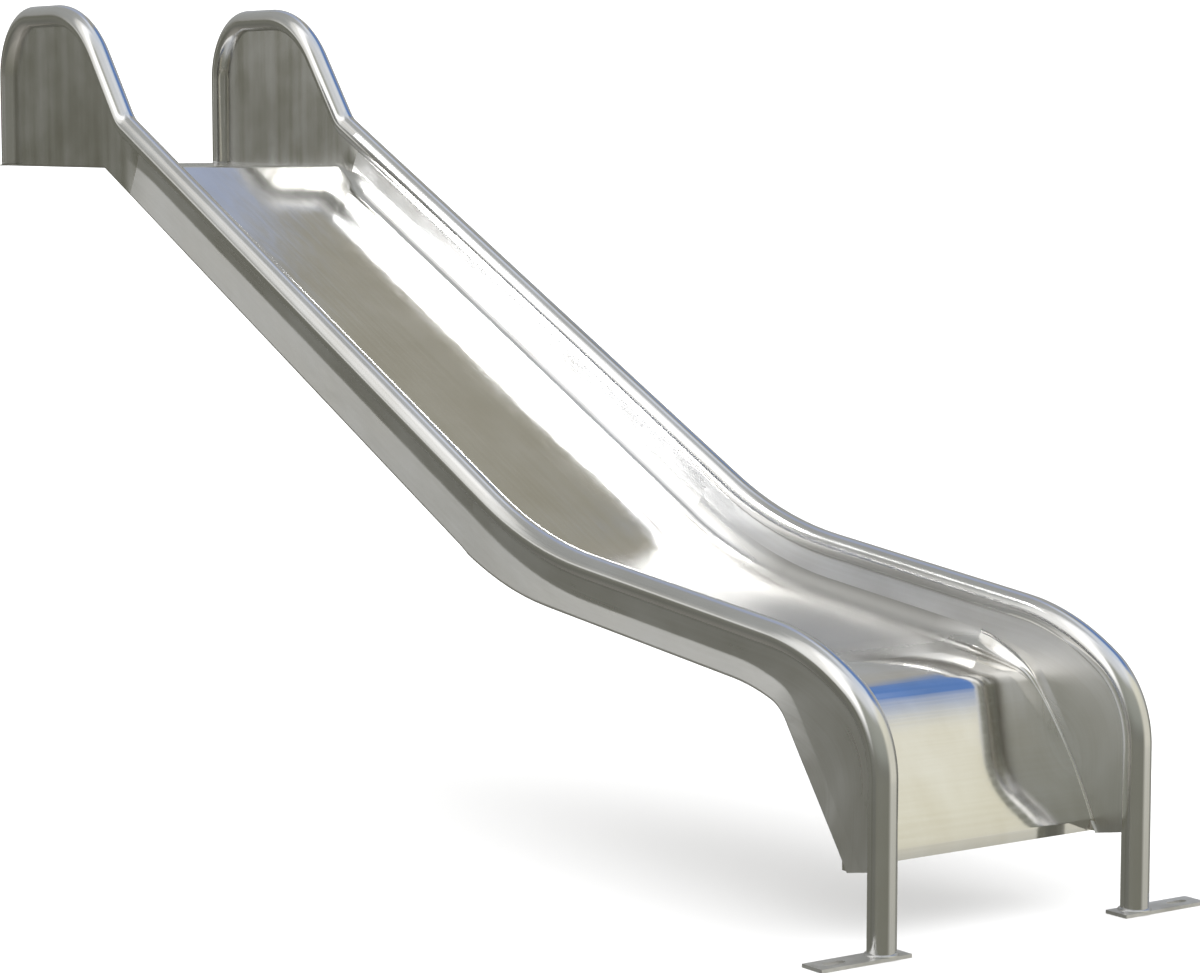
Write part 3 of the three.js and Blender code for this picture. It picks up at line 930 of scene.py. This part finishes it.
def build_world():
    """White for the camera and the floor. Glossy rays see a soft outdoor surround.

    A noise stirs the elevations a little, and high up the bearings are twisted round."""
    world = bpy.data.worlds.new("studio")
    scene.world = world
    world.use_nodes = True
    nodes = world.node_tree.nodes
    links = world.node_tree.links
    nodes.clear()

    def math_node(operation, *inputs):
        node = nodes.new("ShaderNodeMath")
        node.operation = operation
        for socket, value in zip(node.inputs, inputs):
            if isinstance(value, (int, float)):
                socket.default_value = value
            else:
                links.new(value, socket)
        return node.outputs["Value"]

    coords = nodes.new("ShaderNodeTexCoord")
    split = nodes.new("ShaderNodeSeparateXYZ")
    links.new(coords.outputs["Generated"], split.inputs["Vector"])
    cloud = nodes.new("ShaderNodeTexNoise")
    cloud.inputs["Scale"].default_value = CLOUD_SIZE
    cloud.inputs["Detail"].default_value = CLOUD_DETAIL
    links.new(coords.outputs["Generated"], cloud.inputs["Vector"])
    stir = math_node("MULTIPLY_ADD", cloud.outputs["Fac"], CLOUD_STIR, -CLOUD_STIR / 2)
    elevation = math_node("ADD", math_node("ARCSINE", split.outputs["Z"]), stir)
    # From 0, straight down, to 1, straight up.
    height = math_node("MULTIPLY_ADD", elevation, 1 / math.pi, 0.5)
    above = math_node("SUBTRACT", elevation, math.radians(TWIST_FROM))
    above = math_node("MAXIMUM", above, 0.0)
    bearing = math_node("ARCTAN2", split.outputs["X"], split.outputs["Y"])
    azimuth = math_node("SUBTRACT", bearing, math_node("MULTIPLY", above, TWIST))

    def surround(stops):
        ramp = nodes.new("ShaderNodeValToRGB")
        elements = ramp.color_ramp.elements
        while len(elements) > 1:
            elements.remove(elements[-1])
        for i, (degrees, *colour) in enumerate(stops):
            element = elements[0] if i == 0 else elements.new(i / len(stops))
            element.position = (degrees + 90) / 180
            element.color = (*colour, 1)
        links.new(height, ramp.inputs["Fac"])
        return ramp.outputs["Color"]

    def blended(first, second, start, end):
        share = nodes.new("ShaderNodeMapRange")
        share.interpolation_type = "SMOOTHSTEP"
        share.inputs["From Min"].default_value = math.radians(start)
        share.inputs["From Max"].default_value = math.radians(end)
        links.new(azimuth, share.inputs["Value"])
        mix = nodes.new("ShaderNodeMix")
        mix.data_type = "RGBA"
        links.new(share.outputs["Result"], mix.inputs["Factor"])
        links.new(first, mix.inputs["A"])
        links.new(second, mix.inputs["B"])
        return mix.outputs["Result"]

    behind = surround(BEHIND)
    around = behind
    for stops, start, end in ROUND_THE_SLIDE:
        around = blended(around, surround(stops), start, end)
    around = blended(around, behind, *BACK_TO_BEHIND)

    mirrored = nodes.new("ShaderNodeBackground")
    links.new(around, mirrored.inputs["Color"])
    plain = nodes.new("ShaderNodeBackground")
    plain.inputs["Color"].default_value = (1, 1, 1, 1)
    plain.inputs["Strength"].default_value = PLAIN_STRENGTH
    path = nodes.new("ShaderNodeLightPath")
    mix = nodes.new("ShaderNodeMixShader")
    links.new(path.outputs["Is Glossy Ray"], mix.inputs["Fac"])
    links.new(plain.outputs["Background"], mix.inputs[1])
    links.new(mirrored.outputs["Background"], mix.inputs[2])
    out = nodes.new("ShaderNodeOutputWorld")
    links.new(mix.outputs["Shader"], out.inputs["Surface"])


build_world()

# The camera looks this many degrees to the right of uphill, and down. Its place is measured from
# the ground midway between the legs.
CAMERA_TURN = 34.8
CAMERA_DOWN = 6.1
FOCAL_PIXELS = 3421.5
IMAGE_WIDTH = 1200
SENSOR_WIDTH = 36.0
CAMERA_FROM_LEGS = Vector((-3.6798, -4.1166, 1.3223))

camera_data = bpy.data.cameras.new("camera")
camera = bpy.data.objects.new("camera", camera_data)
scene.collection.objects.link(camera)
camera_data.sensor_width = SENSOR_WIDTH
camera_data.lens = FOCAL_PIXELS * SENSOR_WIDTH / IMAGE_WIDTH
camera.location = CAMERA_FROM_LEGS + Vector((0, LEG_Y, GROUND))
turn = math.radians(CAMERA_TURN)
down = math.radians(CAMERA_DOWN)
gaze = Vector((math.sin(turn) * math.cos(down), math.cos(turn) * math.cos(down), -math.sin(down)))
camera.rotation_euler = gaze.to_track_quat("-Z", "Y").to_euler()
scene.camera = camera

# A broad soft lamp high on the left of the slope. It lights the slope's bed and the right side
# only, and its cone ends softly at the foot of the slope.
LAMP_PLACE = Vector((-1.55, 0.25, 1.92))
LAMP_TARGET = Vector((0.10, -1.06, -0.23))
LAMP_POWER = 780
LAMP_SIZE = 0.65
LAMP_CONE = 28
LAMP_SOFTNESS = 0.45
LAMP_LIGHTS = (
    "right_slope_side",
    "right_runout_side",
    "right_hoop_side",
    "right_slope_rail_tube",
    "right_runout_rail_tube",
    "slope_bed_sheet",
)

lamp_data = bpy.data.lights.new("slope_lamp", "SPOT")
lamp_data.energy = LAMP_POWER
lamp_data.shadow_soft_size = LAMP_SIZE
lamp_data.spot_size = math.radians(LAMP_CONE)
lamp_data.spot_blend = LAMP_SOFTNESS
lamp = bpy.data.objects.new("slope_lamp", lamp_data)
lamp.location = LAMP_PLACE
lamp.rotation_euler = (LAMP_TARGET - LAMP_PLACE).to_track_quat("-Z", "Y").to_euler()
lamp.visible_camera = False
scene.collection.objects.link(lamp)
lit = bpy.data.collections.new("lit_by_slope_lamp")
for name in LAMP_LIGHTS:
    lit.objects.link(bpy.data.objects[name])
lamp.light_linking.receiver_collection = lit
